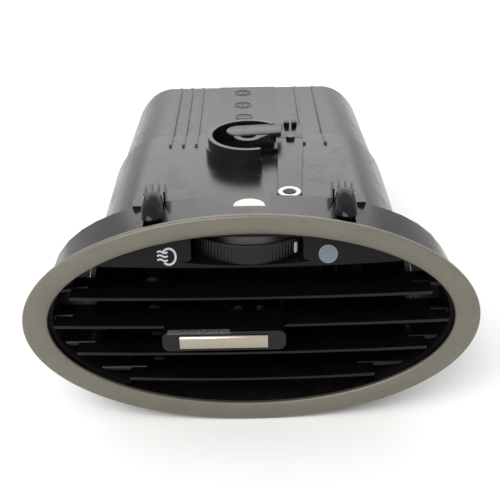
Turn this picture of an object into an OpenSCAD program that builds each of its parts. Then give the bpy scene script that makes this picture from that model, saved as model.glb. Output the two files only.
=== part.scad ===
/* [Bezel ring] */
// Overall width of the oval trim ring
bezel_w = 166; // [150:1:190]
// Overall height of the oval trim ring
bezel_h = 89; // [84:1:100]
// Radial width of the ring at its left and right ends
ring_side_w = 9; // [7:0.5:12]
// Radial width of the ring at its top and bottom
ring_top_w = 7.5; // [6:0.5:9]
// Depth of the ring from its crown to its rear seating face
ring_depth = 5; // [4:0.5:7]

/* [Front collar] */
// Depth of the flared skirt, from the ring's crown to its rear wall
skirt_depth = 20; // [18:0.5:24]
// Margin of the ring's rear face that stays bare around the collar
seat_margin = 3; // [2:0.5:4]
// Amount by which each side of the skirt narrows towards the rear
skirt_taper = 4.5; // [2:0.5:6]
// Wall thickness of the collar and of its rear wall
collar_wall = 2; // [1.5:0.1:2.5]
// Rearward reach of the collar's top plate
top_plate_end = 26; // [25:0.5:32]
// Width of the collar's top plate
top_plate_w = 84; // [80:1:90]
// Thickness of the collar's top plate
top_plate_t = 1.4; // [1:0.1:2]

/* [Fascia] */
// Drop of the fascia's lower lip below the top of the ring
lip_drop = 20.5; // [19.5:0.1:21.5]
// Thickness of the fascia and of its lip
fascia_t = 1.6; // [1.2:0.1:2]
// Depth of the fascia's face behind the ring's crown
fascia_y = 5.5; // [5:0.1:6.5]
// Width of the window for the thumbwheel
window_w = 42; // [38:0.5:46]
// Radius of the round lens that marks the closed position
lens_r = 3.2; // [2:0.1:4]
// Distance of the lens from the middle of the fascia
lens_x = 29.5; // [27:0.5:33]

/* [Air duct] */
// Overall width of the duct behind the collar
duct_w = 122; // [116:1:126]
// Amount by which the duct is lower than the ring in all
duct_drop = 20; // [18:0.5:22]
// Width of the flat top and bottom of the duct
duct_flat = 74; // [60:1:80]
// Wall thickness of the duct
duct_wall = 2; // [1.5:0.1:2.5]
// Distance of the duct's rear mouth behind the ring's crown
duct_end = 165; // [150:1:190]
// Distance of the shallow step in the duct behind the ring's crown
step_y = 95; // [92:1:110]
// Height of the shallow step on every side
step_h = 1.2; // [0.5:0.1:2]
// Amount by which each side of the duct narrows from the step to the mouth
rear_taper = 1.8; // [0:0.1:3]
// Drop of the seam between the upper and lower duct shells below the duct's top
seam_drop = 7.5; // [5.5:0.5:9.5]

/* [Front vanes] */
// Spacing of the horizontal vanes as a share of the lip's height above the centre
vane_share = 0.5; // [0.48:0.01:0.52]
// Depth of a horizontal vane from front to back
vane_chord = 14; // [12:0.5:14.5]
// Thickness of a horizontal vane
vane_t = 1.6; // [1.2:0.1:2]
// Forward bow of a vane's front edge at its middle
vane_bow = 1.6; // [0.5:0.1:2]
// Radius of the pins on which the vanes turn
pin_r = 1.5; // [1.2:0.1:1.8]
// Thickness of the curved strips that hold the vane pins
strip_t = 2.2; // [2:0.1:3]

/* [Rear vanes] */
// Spacing of the vertical vanes
rear_pitch = 15; // [14.5:0.1:16]
// Depth of a vertical vane from front to back
rear_chord = 11; // [9:0.5:11.5]
// Thickness of a vertical vane
rear_t = 1.6; // [1.2:0.1:2]
// Distance of the vertical vanes' axes behind the ring's crown
rear_axis_y = 31; // [30.5:0.1:32]
// Turn of the vertical vanes for each millimetre that the knob slides
rear_rate = 3.38; // [3.2:0.01:3.5]

/* [Knob] */
// Width of the sliding knob
knob_w = 44; // [38:1:48]
// Height of the sliding knob
knob_h = 8; // [7.5:0.1:9]
// Distance of the knob's middle from the centre of the oval at rest
knob_x = -9; // [-12:0.5:-6]
// Width of the bright bar on the knob
trim_w = 32; // [26:0.5:36]
// Height of the bright bar on the knob
trim_h = 5; // [4:0.1:5.5]

/* [Thumbwheel and flap] */
// Radius of the thumbwheel
wheel_r = 24; // [22:0.2:25]
// Thickness of the thumbwheel
wheel_t = 6.8; // [6:0.1:7]
// Number of knurls around the thumbwheel
knurls = 120; // [90:2:140]
// Distance of the crank pin from the thumbwheel's axis
wheel_crank_r = 17.3; // [16.5:0.1:18]
// Distance of the crank pin from the flap's axis
flap_crank_r = 19.5; // [19:0.1:20.5]
// Distance of the flap's axis behind the ring's crown
flap_y = 76; // [75:0.5:84]
// Half width of the flap with its seal
flap_half_w = 39; // [34:0.5:40]
// Thickness of the flap plate
flap_t = 2.4; // [2:0.1:3]
// Radius of the round wall around the flap's crank
turret_r = 16.5; // [15:0.1:17]
// Height of the round wall around the flap's crank
turret_h = 8.4; // [6:0.1:10]

/* [Clips] */
// Distance of each snap clip from the middle of the collar
clip_x = 34; // [32:0.5:36]
// Width of a snap clip's nose
clip_w = 6; // [4:0.5:7]

/* [Hidden] */
$fn = 48;

// Running clearance of a pin in its hole
run = 0.08;
// Gap between pieces that pass each other
gap = 0.4;
// Overlap that joins the solids of one piece
join = 0.5;

half_w = bezel_w / 2;
half_h = bezel_h / 2;
inner_w = half_w - ring_side_w;
inner_h = half_h - ring_top_w;
lip_z = half_h - lip_drop;
vane_pitch = vane_share * lip_z;
duct_h = bezel_h - duct_drop;
// Depth of the step in the ring's rear face into which the collar's front edge is set
ring_step = 0.4;
ring_step_share = 0.3;
collar_front = ring_depth - ring_step;
ring_steps = 96;

// The collar's flange, at the ring's rear face
flange_w = half_w - seat_margin;
flange_h = half_h - seat_margin;
skirt_w = flange_w - skirt_taper;
skirt_steps = 72;
skirt_square = 2.5;
rear_wall_y = skirt_depth;

// The duct's section
duct_hw = duct_w / 2;
duct_hh = duct_h / 2;
seam_z = duct_hh - seam_drop;
flat_x = duct_flat / 2;
duct_y = skirt_depth;
// Slack between the duct's curved wall and what lies along it
fit = 0.25;
arc_steps = 8;
shoulder = 0.06;

// The stack on top of the duct: crank arm, link bar, collar plate
arm_t = 1.1;
link_t = 1.2;
arm_z = duct_hh + 0.3;
link_z = arm_z + arm_t + 0.2;
plate_z = link_z + link_t + 0.3;

// The horizontal vanes
vane_z = [vane_pitch, 0, -vane_pitch, -2 * vane_pitch];
vane_front = 1;
vane_axis_y = vane_front + vane_chord / 2;
vane_tilt = 25;
strip_y = collar_front;
strip_end = vane_axis_y + 7.5;
strip_w = flange_w - collar_wall - skirt_taper * (strip_end - collar_front) / (rear_wall_y + collar_wall - collar_front) - 0.15;
strip_h = flange_h - collar_wall - 0.15;
strip_top = lip_z - fascia_t / 2 - gap;
strip_low = 2 * vane_pitch + 6;
vane_end_gap = 0.5;
notch_w = 38;
notch_y = vane_axis_y + 1.2;
link_inset = 38;
link_x = link_inset - inner_w;
link_pin_r = 1;
link_pin_y = vane_front + vane_chord - 1.6;

// The vertical vanes
rail_t = 1.8;
shelf_z = lip_z - fascia_t / 2;
shelf_y = fascia_y + fascia_t;
shelf_end = rear_axis_y + rear_chord / 2 + 1.5;
floor_z = -(duct_hh - duct_wall);
sill_t = 5;
rear_low = floor_z + sill_t + gap;
rear_high = shelf_z - 4;
rear_pin_r = 1.2;
rear_stub_r = 0.8;
rear_stub = rear_chord / 2 - 0.2;
rear_rest = knob_x * rear_rate;
rear_stub_rest = [-rear_stub * sin(rear_rest), rear_stub * cos(rear_rest)];
control_r = 18.5;
control_pin_r = 1.4;
control_half = 7.1;
control_t = 1.4;

// The knob
knob_front = -6;
knob_back = vane_axis_y - 0.8;
fork_gap = 0.6;
fork_t = 1.8;
fork_end = vane_axis_y + 12;
fork_prong = 2;

// The thumbwheel, its hub and crank pin
wheel_y = wheel_r + 1.2;
hub_notch_y = wheel_y - 11.5;
wheel_z = shelf_z + fascia_t + 0.5;
wheel_top = wheel_z + wheel_t;
wheel_angle = 28.3;
wheel_travel = 76;
hub_r = 2.9;
hub_head_r = 5.9;
crank_pin_r = 2;
mark_angle = -90 + 42;
crank_pin = [wheel_crank_r * cos(wheel_angle), wheel_y + wheel_crank_r * sin(wheel_angle)];

// The flap and its crank
shaft_r = 3.4;
flap_angle = 22.8;
flap_pin = [flap_crank_r * cos(flap_angle), flap_y + flap_crank_r * sin(flap_angle)];
flap_low = -(duct_hh - duct_wall - step_h - rear_taper / 2 - gap);
flap_top = shelf_z + 1;
seal_edge = 1.8;
seal_lip = 2;
link_len = norm(flap_pin - crank_pin);
link_dir = atan2(crank_pin[1] - flap_pin[1], crank_pin[0] - flap_pin[0]);
eye_r = crank_pin_r + 0.6;
bush_r = eye_r + 1.7;
link_end_r = bush_r + 0.5;
link_tail_r = link_end_r + 0.6;

// Front of the snap clips' noses
clip_y = ring_depth + 3;

// The origin: the middle of the whole vent's footprint, at the height of the ring's lowest point
middle_y = (knob_front - 1 + duct_end) / 2;

module placed() { translate([0, -middle_y, half_h]) children(); }
module along_y(from, to) { translate([0, to, 0]) rotate([90, 0, 0]) linear_extrude(to - from) children(); }
module along_x(from, to) { translate([from, 0, 0]) rotate([90, 0, 90]) linear_extrude(to - from) children(); }
module block(from, to) { translate(from) cube(to - from); }
module mirrored() { children(); mirror([1, 0, 0]) children(); }

// Oval outline, an ellipse where the power is 2 and squarer above it
function oval(a, b, power, steps, from = 0, to = 360) = [for (i = [0:steps])
    let (t = from + (to - from) * i / steps,
        r = pow(pow(abs(cos(t)) / a, power) + pow(abs(sin(t)) / b, power), -1 / power))
    [r * cos(t), r * sin(t)]];
function closed_oval(a, b, power, steps) = oval(a, b, power, steps - 1, 0, 360 - 360 / steps);
function ellipse_x(a, b, z) = a * sqrt(max(0, 1 - pow(z / b, 2)));
function reversed(list) = [for (i = [len(list) - 1:-1:0]) list[i]];

// Open shell through a row of outlines, each at its own depth: the first half of an outline's points
// runs along the outside and the second half runs back along the inside
module loft(sections) {
    n = len(sections[0]);
    m = len(sections);
    points = [for (s = sections) each s];
    sides = [for (k = [0:m - 2], i = [0:n - 1])
        let (j = (i + 1) % n) each [[k * n + i, k * n + j, (k + 1) * n + j], [k * n + i, (k + 1) * n + j, (k + 1) * n + i]]];
    front = [for (i = [0:n / 2 - 2]) each [[i + 1, i, n - 2 - i], [n - 2 - i, i, n - 1 - i]]];
    back = [for (f = front) [for (i = [2:-1:0]) (m - 1) * n + f[i]]];
    polyhedron(points, concat(front, sides, back), convexity = 8);
}
function at_depth(outline, y) = [for (p = outline) [p[0], y, p[1]]];

// One quarter of the duct's outline, from the end of the flat top round the shoulder to the side
function quarter(w, h, from = 0, to = 90) = [for (i = [0:arc_steps])
    let (t = from + (to - from) * i / arc_steps, c = h * shoulder)
    [flat_x + (w - flat_x) * sin(t), c + (h - c) * cos(t)]];
function flip_x(list) = [for (p = list) [-p[0], p[1]]];
function flip_z(list) = [for (p = list) [p[0], -p[1]]];
function duct_outline(w, h) = let (q = quarter(w, h))
    concat(reversed(q), flip_x(q), flip_x(flip_z(reversed(q))), flip_z(q));
function seam_angle(h) = let (c = h * shoulder) acos((seam_z - c) / (h - c));
function upper_shell(w, h) = let (iw = w - duct_wall, ih = h - duct_wall,
        q = quarter(w, h, 0, seam_angle(h)), p = quarter(iw, ih, 0, seam_angle(ih)))
    concat(reversed(q), flip_x(q), flip_x(reversed(p)), p);
function lower_half(w, h) = concat(quarter(w, h, seam_angle(h), 90), flip_z(reversed(quarter(w, h))));
function lower_shell(w, h) = let (iw = w - duct_wall, ih = h - duct_wall, q = lower_half(w, h), p = lower_half(iw, ih))
    concat(flip_x(q), reversed(q), p, flip_x(reversed(p)));
rear_rows = [[step_y, 0], [step_y + step_h, step_h], [duct_end, step_h + rear_taper]];

// Section of the trim ring: inward distance as a share of the width, and depth behind the crown
ring_profile = [[0, ring_depth], [0, 2], [0.04, 1.15], [0.14, 0.5], [0.34, 0.05], [0.52, 0],
    [0.74, 0.35], [0.92, 1.1], [1, 1.9], [1, collar_front], [ring_step_share, collar_front], [ring_step_share, ring_depth]];

module bezel_ring() {
    n = ring_steps;
    m = len(ring_profile);
    points = [for (i = [0:n - 1], p = ring_profile)
        let (t = 360 * i / n) [(half_w - ring_side_w * p[0]) * cos(t), p[1], (half_h - ring_top_w * p[0]) * sin(t)]];
    faces = [for (i = [0:n - 1], k = [0:m - 1])
        let (j = (i + 1) % n, l = (k + 1) % m) each [[i * m + k, i * m + l, j * m + l], [i * m + k, j * m + l, j * m + k]]];
    color("#85827a") placed() polyhedron(points, faces, convexity = 8);
}

module collar_skirt() {
    front = closed_oval(flange_w, flange_h, 2, skirt_steps);
    back = closed_oval(skirt_w, flange_h, skirt_square, skirt_steps);
    front_in = closed_oval(flange_w - collar_wall, flange_h - collar_wall, 2, skirt_steps);
    back_in = closed_oval(skirt_w - collar_wall, flange_h - collar_wall, skirt_square, skirt_steps);
    back_y = rear_wall_y + collar_wall;
    n = skirt_steps;
    points = concat(at_depth(front, collar_front), at_depth(back, back_y), at_depth(back_in, back_y), at_depth(front_in, collar_front));
    faces = [for (k = [0:3], i = [0:n - 1])
        let (j = (i + 1) % n, l = (k + 1) % 4) each [[k * n + i, k * n + j, l * n + j], [k * n + i, l * n + j, l * n + i]]];
    polyhedron(points, faces, convexity = 8);
}

module front_collar() {
    color("#1b1b1c") placed() difference() {
        union() {
            collar_skirt();
            difference() {
                along_y(rear_wall_y, rear_wall_y + collar_wall)
                    polygon(closed_oval(skirt_w - collar_wall / 2, flange_h - collar_wall / 2, skirt_square, skirt_steps));
                along_y(rear_wall_y - 1, rear_wall_y + collar_wall + 1) polygon(duct_outline(duct_hw + fit, duct_hh + fit));
            }
            block([-top_plate_w / 2, rear_wall_y, plate_z], [top_plate_w / 2, top_plate_end, plate_z + top_plate_t]);
            mirrored() block([top_plate_w / 2 - 8, rear_wall_y, duct_hh + 0.1], [top_plate_w / 2 - 5, top_plate_end, plate_z + join]);
        }
        // Passage for the link bar and its crank pin under the top plate
        block([-9, rear_wall_y - 1, duct_hh - 1], [30, top_plate_end + 1, plate_z]);
        // Notch that shows the rear half of the wheel's hub
        translate([0, 0, duct_hh]) linear_extrude(half_h - duct_hh)
            polygon([[-7, hub_notch_y], [7, hub_notch_y], [8.5, top_plate_end + 1], [-8.5, top_plate_end + 1]]);
        // Windows in the skirt for the snap clips' noses
        mirrored() block([clip_x - clip_w / 2 - 0.3, clip_y - 0.3, duct_hh - 2], [clip_x + clip_w / 2 + 0.3, rear_wall_y - 0.7, half_h]);
    }
}

module fascia_panel() {
    color("#232426") placed() difference() {
        union() {
            intersection() {
                along_y(fascia_y, fascia_y + fascia_t)
                    polygon(closed_oval(flange_w - collar_wall - 0.6, flange_h - collar_wall - 0.6, 2, skirt_steps));
                block([-half_w, fascia_y - 1, lip_z - fascia_t / 2], [half_w, fascia_y + fascia_t + 1, half_h]);
            }
            intersection() {
                along_y(vane_front, fascia_y + join) polygon(closed_oval(inner_w - 0.3, inner_h - 0.3, 2, skirt_steps));
                block([-half_w, vane_front, lip_z - fascia_t / 2], [half_w, fascia_y + join, lip_z + fascia_t / 2]);
            }
        }
        block([-window_w / 2, fascia_y - 1, lip_z + fascia_t / 2], [window_w / 2, fascia_y + fascia_t + 1, wheel_top + 0.6]);
        translate([lens_x, fascia_y - 1, (lip_z + wheel_top) / 2 + 1]) rotate([-90, 0, 0]) cylinder(r = lens_r + 0.05, h = fascia_t + 2);
    }
}

module closed_lens() {
    color("#646a73") placed() translate([lens_x, fascia_y - 0.3, (lip_z + wheel_top) / 2 + 1]) rotate([-90, 0, 0])
        cylinder(r = lens_r, h = fascia_t + 0.6);
}

module duct_upper() {
    color("#202021") placed() difference() {
        union() {
            along_y(duct_y, step_y) polygon(upper_shell(duct_hw, duct_hh));
            loft([for (r = rear_rows) at_depth(upper_shell(duct_hw - r[1], duct_hh - r[1]), r[0])]);
            turret();
            top_ribs();
            top_stops();
            // Boss over the flap's shaft
            translate([0, flap_y, duct_hh - duct_wall / 2]) cylinder(r = shaft_r + 2, h = duct_wall / 2 + 0.2);
        }
        translate([0, flap_y, floor_z]) cylinder(r = shaft_r + run, h = duct_h + turret_h);
        translate([0, wheel_y, floor_z]) cylinder(r = hub_r + 0.02, h = duct_h);
        crank_slot();
    }
}

// Ribs that hang from the duct's top to the closed flap's upper edge
module top_stops() {
    inside = shaft_r + 4;
    clear = flap_t / 2 + 0.9;
    intersection() {
        along_y(flap_y - 8, flap_y + 8) polygon(duct_outline(duct_hw - duct_wall - fit, duct_hh - duct_wall / 2));
        for (side = [0, 1]) translate([0, flap_y, 0]) rotate([0, 0, 180 * side]) {
            block([inside, clear, flap_top - 1.5], [flap_half_w - 2, clear + 2, duct_hh]);
            block([inside, clear, seam_z + 0.3], [duct_hw, clear + 2, duct_hh]);
        }
    }
}

// Arc in the duct's top through which the wheel's crank pin reaches the link bar
module crank_slot() {
    r = wheel_crank_r;
    c = crank_pin_r + gap;
    arc = [for (i = [-14:2:wheel_travel + 8]) wheel_angle + 8 - i - 14 + 8];
    outer = [for (t = arc) [(r + c) * cos(t), wheel_y + (r + c) * sin(t)]];
    inner = [for (t = reversed(arc)) [(r - c) * cos(t), wheel_y + (r - c) * sin(t)]];
    translate([0, 0, duct_hh - duct_wall - 1]) linear_extrude(duct_wall + 2) polygon(concat(outer, inner));
}

// Round wall with an open side, in two tiers
module turret() {
    low = duct_hh - duct_wall / 2;
    open_from = -72;
    open_to = 46;
    difference() {
        union() {
            translate([0, flap_y, low]) cylinder(r = turret_r + 1, h = turret_h / 2 + duct_wall / 2);
            translate([0, flap_y, low]) cylinder(r = turret_r, h = turret_h + duct_wall / 2);
        }
        translate([0, flap_y, duct_hh]) cylinder(r = turret_r - 1.8, h = turret_h + 1);
        far = 2 * turret_r;
        translate([0, flap_y, duct_hh]) linear_extrude(turret_h + 1)
            polygon([[0, 0], [far * cos(open_from), far * sin(open_from)], [far, -far / 3], [far, far / 3], [far * cos(open_to), far * sin(open_to)]]);
    }
}

// Stiffening ribs and a raised pad along the rear of the duct's top
module top_ribs() {
    rise = 1;
    rear_top = duct_hh - step_h - rear_taper;
    rib = [[step_y - 12, duct_hh - 1], [step_y - 11, duct_hh + rise], [duct_end - 2, rear_top + rise], [duct_end - 2, rear_top - 0.8], [step_y + 2, duct_hh - step_h - 1]];
    outer = flat_x - 4;
    for (x = [-outer, 5.5 - outer, 11 - outer, outer - 9, outer]) along_x(x - 0.6, x + 0.6) polygon(rib);
    pad = flat_x * 0.37;
    along_x(-pad, pad) polygon([[step_y - 2, duct_hh - 1], [step_y - 2, duct_hh + 0.6], [duct_end - 2, rear_top + rise], [duct_end - 2, rear_top - 0.8], [step_y + 2, duct_hh - step_h - 1]]);
}

module duct_lower() {
    color("#202021") placed() {
        difference() {
            union() {
                along_y(duct_y, step_y) polygon(lower_shell(duct_hw, duct_hh));
                loft([for (r = rear_rows) at_depth(lower_shell(duct_hw - r[1], duct_hh - r[1]), r[0])]);
                translate([0, flap_y, -duct_hh]) cylinder(r = shaft_r + 2.5, h = duct_wall + 0.6);
                flap_stops();
            }
            translate([0, flap_y, -duct_hh + 0.8]) cylinder(r = shaft_r + run, h = duct_wall + 1);
        }
    }
}

// Ribs inside the duct that the closed flap meets, in front at the left and behind at the right
module flap_stops() {
    reach = flap_half_w - 1.5;
    inside = shaft_r + 4;
    clear = flap_t / 2 + 0.9;
    intersection() {
        along_y(flap_y - 8, flap_y + 8) polygon(duct_outline(duct_hw - duct_wall / 2, duct_hh - duct_wall / 2));
        for (side = [0, 1]) translate([0, flap_y, 0]) rotate([0, 0, 180 * side]) {
            block([reach, clear, -duct_hh], [duct_hw, clear + 2, seam_z]);
            block([inside, clear, -duct_hh], [duct_hw, clear + 2, flap_low + 1.5]);
        }
    }
}

module pivot_strip() {
    from = -atan2(strip_low, ellipse_x(strip_w, strip_h, strip_low));
    to = atan2(strip_top, ellipse_x(strip_w, strip_h, strip_top));
    outer = oval(strip_w, strip_h, 2, 28, from, to);
    inner = reversed(oval(strip_w - strip_t, strip_h - strip_t, 2, 28, from, to));
    color("#161617") placed() difference() {
        along_y(strip_y, strip_end) polygon(concat(outer, inner));
        for (z = vane_z) translate([0, vane_axis_y, z]) rotate([0, 90, 0]) cylinder(r = pin_r + run, h = half_w);
    }
}
module pivot_strip_right() { pivot_strip(); }
module pivot_strip_left() { mirror([1, 0, 0]) pivot_strip(); }

// Half length of a vane: clear of the curved strips over its whole tilt
function vane_reach(z) = let (edge = vane_chord / 2 * sin(vane_tilt) + vane_t)
    min(ellipse_x(strip_w - strip_t, strip_h - strip_t, abs(z) + edge), strip_w - strip_t) - vane_end_gap;
function pin_reach(z) = ellipse_x(strip_w - strip_t * 0.25, strip_h - strip_t * 0.25, z) - 0.2;

module vane(z, notched = false) {
    reach = vane_reach(z);
    back = vane_front + vane_chord;
    front = [for (i = [-12:12]) [reach * i / 12, vane_front - vane_bow * (1 - pow(i / 12, 2))]];
    color("#121213") placed() difference() {
        union() {
            intersection() {
                translate([0, 0, z - vane_t]) linear_extrude(2 * vane_t) polygon(concat(front, [[reach, back], [-reach, back]]));
                along_x(-reach, reach) polygon([[vane_front - vane_bow - 0.1, z - vane_t * 0.3], [vane_front + 1.5, z - vane_t * 0.5],
                    [vane_axis_y, z - vane_t * 0.6], [back, z - vane_t * 0.32], [back, z + vane_t * 0.32], [vane_axis_y, z + vane_t * 0.6],
                    [vane_front + 1.5, z + vane_t * 0.5], [vane_front - vane_bow - 0.1, z + vane_t * 0.3]]);
            }
            translate([-pin_reach(z), vane_axis_y, z]) rotate([0, 90, 0]) cylinder(r = pin_r, h = pin_reach(z) - reach + 6);
            translate([reach - 6, vane_axis_y, z]) rotate([0, 90, 0]) cylinder(r = pin_r, h = pin_reach(z) - reach + 6);
        }
        block([link_x - 2, link_pin_y - 3.2, z - 2], [link_x + 2, back + 1, z + 2]);
        if (notched) block([-notch_w / 2, notch_y, z - 2], [notch_w / 2, back + 1, z + 2]);
    }
    color("#121213") placed() translate([link_x - 2 - join, link_pin_y, z]) rotate([0, 90, 0]) cylinder(r = link_pin_r, h = 4 + 2 * join);
}
module front_vane_1() { vane(vane_z[0]); }
module front_vane_2() { vane(vane_z[1], true); }
module front_vane_3() { vane(vane_z[2]); }
module front_vane_4() { vane(vane_z[3]); }

// Upright bar behind the vanes, with an eye around each vane's link pin
module front_vane_link() {
    r = link_pin_r + 1.2;
    back = link_pin_y + r;
    color("#1a1a1b") placed() difference() {
        union() {
            block([link_x - 1.2, back - 0.6, vane_z[3] - r], [link_x + 1.2, back + 1.8, vane_z[0] + r]);
            for (z = vane_z) translate([link_x - 1.2, link_pin_y, z]) rotate([0, 90, 0]) cylinder(r = r, h = 2.4);
        }
        for (z = vane_z) translate([link_x - 2, link_pin_y, z]) rotate([0, 90, 0]) cylinder(r = link_pin_r + run, h = 4);
    }
}

module knob_body() {
    clear = vane_t * 0.6 + 0.35;
    color("#0d0d0e") placed() translate([knob_x, 0, 0]) difference() {
        along_y(knob_front, knob_back) offset(r = 1.6) square([knob_w - 3.2, knob_h - 3.2], center = true);
        block([-knob_w, vane_front - vane_bow - 0.6, -clear], [knob_w, knob_back + 1, clear]);
        block([-trim_w / 2 - 0.1, knob_front - 1, -trim_h / 2 - 0.1], [trim_w / 2 + 0.1, knob_front + 0.8, trim_h / 2 + 0.1]);
    }
}

module knob_trim() {
    color("#c9bfb0") placed() translate([knob_x, 0, 0])
        along_x(-trim_w / 2, trim_w / 2) polygon([[knob_front + 0.8, -trim_h / 2], [knob_front - 0.4, -trim_h / 2], [knob_front - 1, -trim_h / 2 + 0.8],
            [knob_front - 1, trim_h / 2 - 0.8], [knob_front - 0.4, trim_h / 2], [knob_front + 0.8, trim_h / 2]]);
}

// Two prongs that straddle the control bar of the middle vertical vane
module knob_fork() {
    in_x = control_pin_r + fork_gap;
    out_x = in_x + fork_prong;
    color("#1a1a1b") placed() translate([knob_x, 0, 0]) {
        mirrored() block([in_x, notch_y + 0.5, -fork_t / 2], [out_x, fork_end, fork_t / 2]);
        mirrored() block([in_x, notch_y + 0.5, -2.8], [out_x, notch_y + 1.7, 2.8]);
        for (s = [-1, 1]) {
            block([-out_x, knob_back, s * 2.4 - 0.8], [out_x, knob_back + 1.2, s * 2.4 + 0.8]);
            mirrored() block([in_x, knob_back, s * 2.3 - 0.5], [out_x, notch_y + 1.7, s * 2.3 + 0.5]);
        }
    }
}

// One vertical vane at its rest angle, with a pin at each end and a stub for the link bar
module upright(x, control = false) {
    color("#121213") placed() translate([x, rear_axis_y, 0]) rotate([0, 0, rear_rest]) {
        half = rear_chord / 2;
        translate([0, 0, rear_low]) linear_extrude(rear_high - rear_low)
            polygon([[-rear_t * 0.3, -half], [rear_t * 0.3, -half], [rear_t / 2 + 0.2, 0], [rear_t * 0.3, half], [-rear_t * 0.3, half], [-rear_t / 2 - 0.2, 0]]);
        translate([0, 0, rear_low - gap - 1.7]) cylinder(r = rear_pin_r, h = 1.7 + gap + join);
        translate([0, 0, rear_high - join]) cylinder(r = rear_pin_r, h = shelf_z - rear_high + rail_t - 0.3 + join);
        translate([0, rear_stub, rear_high - join]) cylinder(r = rear_stub_r, h = 2.4 + join);
        if (control) {
            for (s = [-1, 1]) block([-control_pin_r, -control_r, s * control_half - control_t / 2], [control_pin_r, -half + 1.5, s * control_half + control_t / 2]);
            translate([0, -control_r, -control_half - control_t / 2]) cylinder(r = control_pin_r, h = 2 * control_half + control_t);
        }
    }
}
function upright_x(i) = (i - 4) * rear_pitch;
module rear_vane_1() { upright(upright_x(1)); }
module rear_vane_2() { upright(upright_x(2)); }
module rear_vane_3() { upright(upright_x(3)); }
module rear_vane_4() { upright(upright_x(4), true); }
module rear_vane_5() { upright(upright_x(5)); }
module rear_vane_6() { upright(upright_x(6)); }
module rear_vane_7() { upright(upright_x(7)); }

module rear_vane_link() {
    color("#1a1a1b") placed() translate([rear_stub_rest[0], rear_axis_y + rear_stub_rest[1], rear_high + gap]) difference() {
        block([upright_x(1) - 2.4, -1.7, 0], [upright_x(7) + 2.4, 1.7, 1.4]);
        for (i = [1:7]) translate([upright_x(i), 0, -1]) cylinder(r = rear_stub_r + run, h = 4);
    }
}

module rear_rail_top() {
    color("#161617") placed() difference() {
        intersection() {
            along_y(shelf_y, shelf_end) polygon(duct_outline(duct_hw - duct_wall - fit, duct_hh - duct_wall - fit));
            block([-duct_hw, shelf_y, shelf_z], [duct_hw, shelf_end, shelf_z + rail_t]);
        }
        for (i = [1:7]) translate([upright_x(i), rear_axis_y, shelf_z - 1]) cylinder(r = rear_pin_r + run, h = rail_t + 2);
        translate([0, wheel_y, shelf_z - 1]) cylinder(r = hub_r + 0.02, h = rail_t + 2);
    }
}

module rear_rail_bottom() {
    color("#161617") placed() difference() {
        intersection() {
            along_y(duct_y, shelf_end) polygon(duct_outline(duct_hw - duct_wall - fit, duct_hh - duct_wall - fit));
            block([-duct_hw, rear_axis_y - 4, floor_z - 1], [duct_hw, rear_axis_y + 4, floor_z + sill_t]);
        }
        for (i = [1:7]) translate([upright_x(i), rear_axis_y, floor_z + sill_t - 2]) cylinder(r = rear_pin_r + run, h = rail_t + 2);
    }
}

// Knurled rim between two plain bevels, a bore for the hub pin and a crank pin on top
module thumbwheel() {
    band = 1.2;
    teeth = [for (i = [0:2 * knurls - 1]) let (t = 180 * i / knurls, r = wheel_r - (i % 2) * 0.5) [r * cos(t), r * sin(t)]];
    color("#2a2a2b") placed() translate([0, wheel_y, 0]) {
        difference() {
            union() {
                translate([0, 0, wheel_z + band]) linear_extrude(wheel_t - 2 * band) polygon(teeth);
                translate([0, 0, wheel_z]) cylinder(r1 = wheel_r - 1.6, r2 = wheel_r - 0.6, h = band + 0.01);
                translate([0, 0, wheel_top - band - 0.01]) cylinder(r1 = wheel_r - 0.6, r2 = wheel_r - 1.6, h = band + 0.01);
            }
            translate([0, 0, wheel_z - 1]) cylinder(r = hub_r + run, h = wheel_t + 2);
            rotate([0, 0, mark_angle]) block([wheel_r - 1, -0.8, wheel_z - 1], [wheel_r + 1, 0.8, wheel_top + 1]);
        }
        rotate([0, 0, wheel_angle]) translate([wheel_crank_r, 0, wheel_top - join]) cylinder(r = crank_pin_r, h = link_z + link_t - wheel_top + join);
    }
}

module wheel_mark() {
    color("#e8e6dc") placed() translate([0, wheel_y, 0]) rotate([0, 0, mark_angle])
        block([wheel_r - 1, -0.8, wheel_z + 0.6], [wheel_r - 0.1, 0.8, wheel_top - 0.6]);
}

module wheel_hub_pin() {
    color("#ecebe3") placed() translate([0, wheel_y, 0]) {
        translate([0, 0, duct_hh]) cylinder(r = hub_head_r, h = 1.2);
        translate([0, 0, shelf_z]) cylinder(r = hub_r, h = duct_hh - shelf_z + 0.5);
    }
}

module flap_plate() {
    w = flap_half_w - seal_edge;
    low = flap_low + seal_edge;
    top = flap_top - seal_edge;
    color("#18181a") placed() translate([0, flap_y, 0]) {
        block([-w, -flap_t / 2, low], [w, flap_t / 2, top]);
        translate([0, 0, -duct_hh + 1]) cylinder(r = shaft_r, h = duct_h + turret_h - 3.4);
        for (k = [0.17, 0.48, 0.79], z = low + k * (top - low)) block([-w + 6, -2.2, z - 0.6], [w - 6, 2.2, z + 0.6]);
    }
}

// Foam strip round the flap's edge, with a lip on each face
module flap_seal() {
    w = flap_half_w - seal_edge;
    low = flap_low + seal_edge;
    top = flap_top - seal_edge;
    lip = 0.6;
    color("#3a3a3c") placed() translate([0, flap_y, 0]) difference() {
        block([-flap_half_w, -flap_t / 2 - lip, flap_low], [flap_half_w, flap_t / 2 + lip, flap_top]);
        block([-w, -flap_t / 2, low], [w, flap_t / 2, top]);
        block([-w + seal_lip, -flap_t, low + seal_lip], [w - seal_lip, flap_t, top - seal_lip]);
        cylinder(r = shaft_r, h = duct_h, center = true);
    }
}

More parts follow.
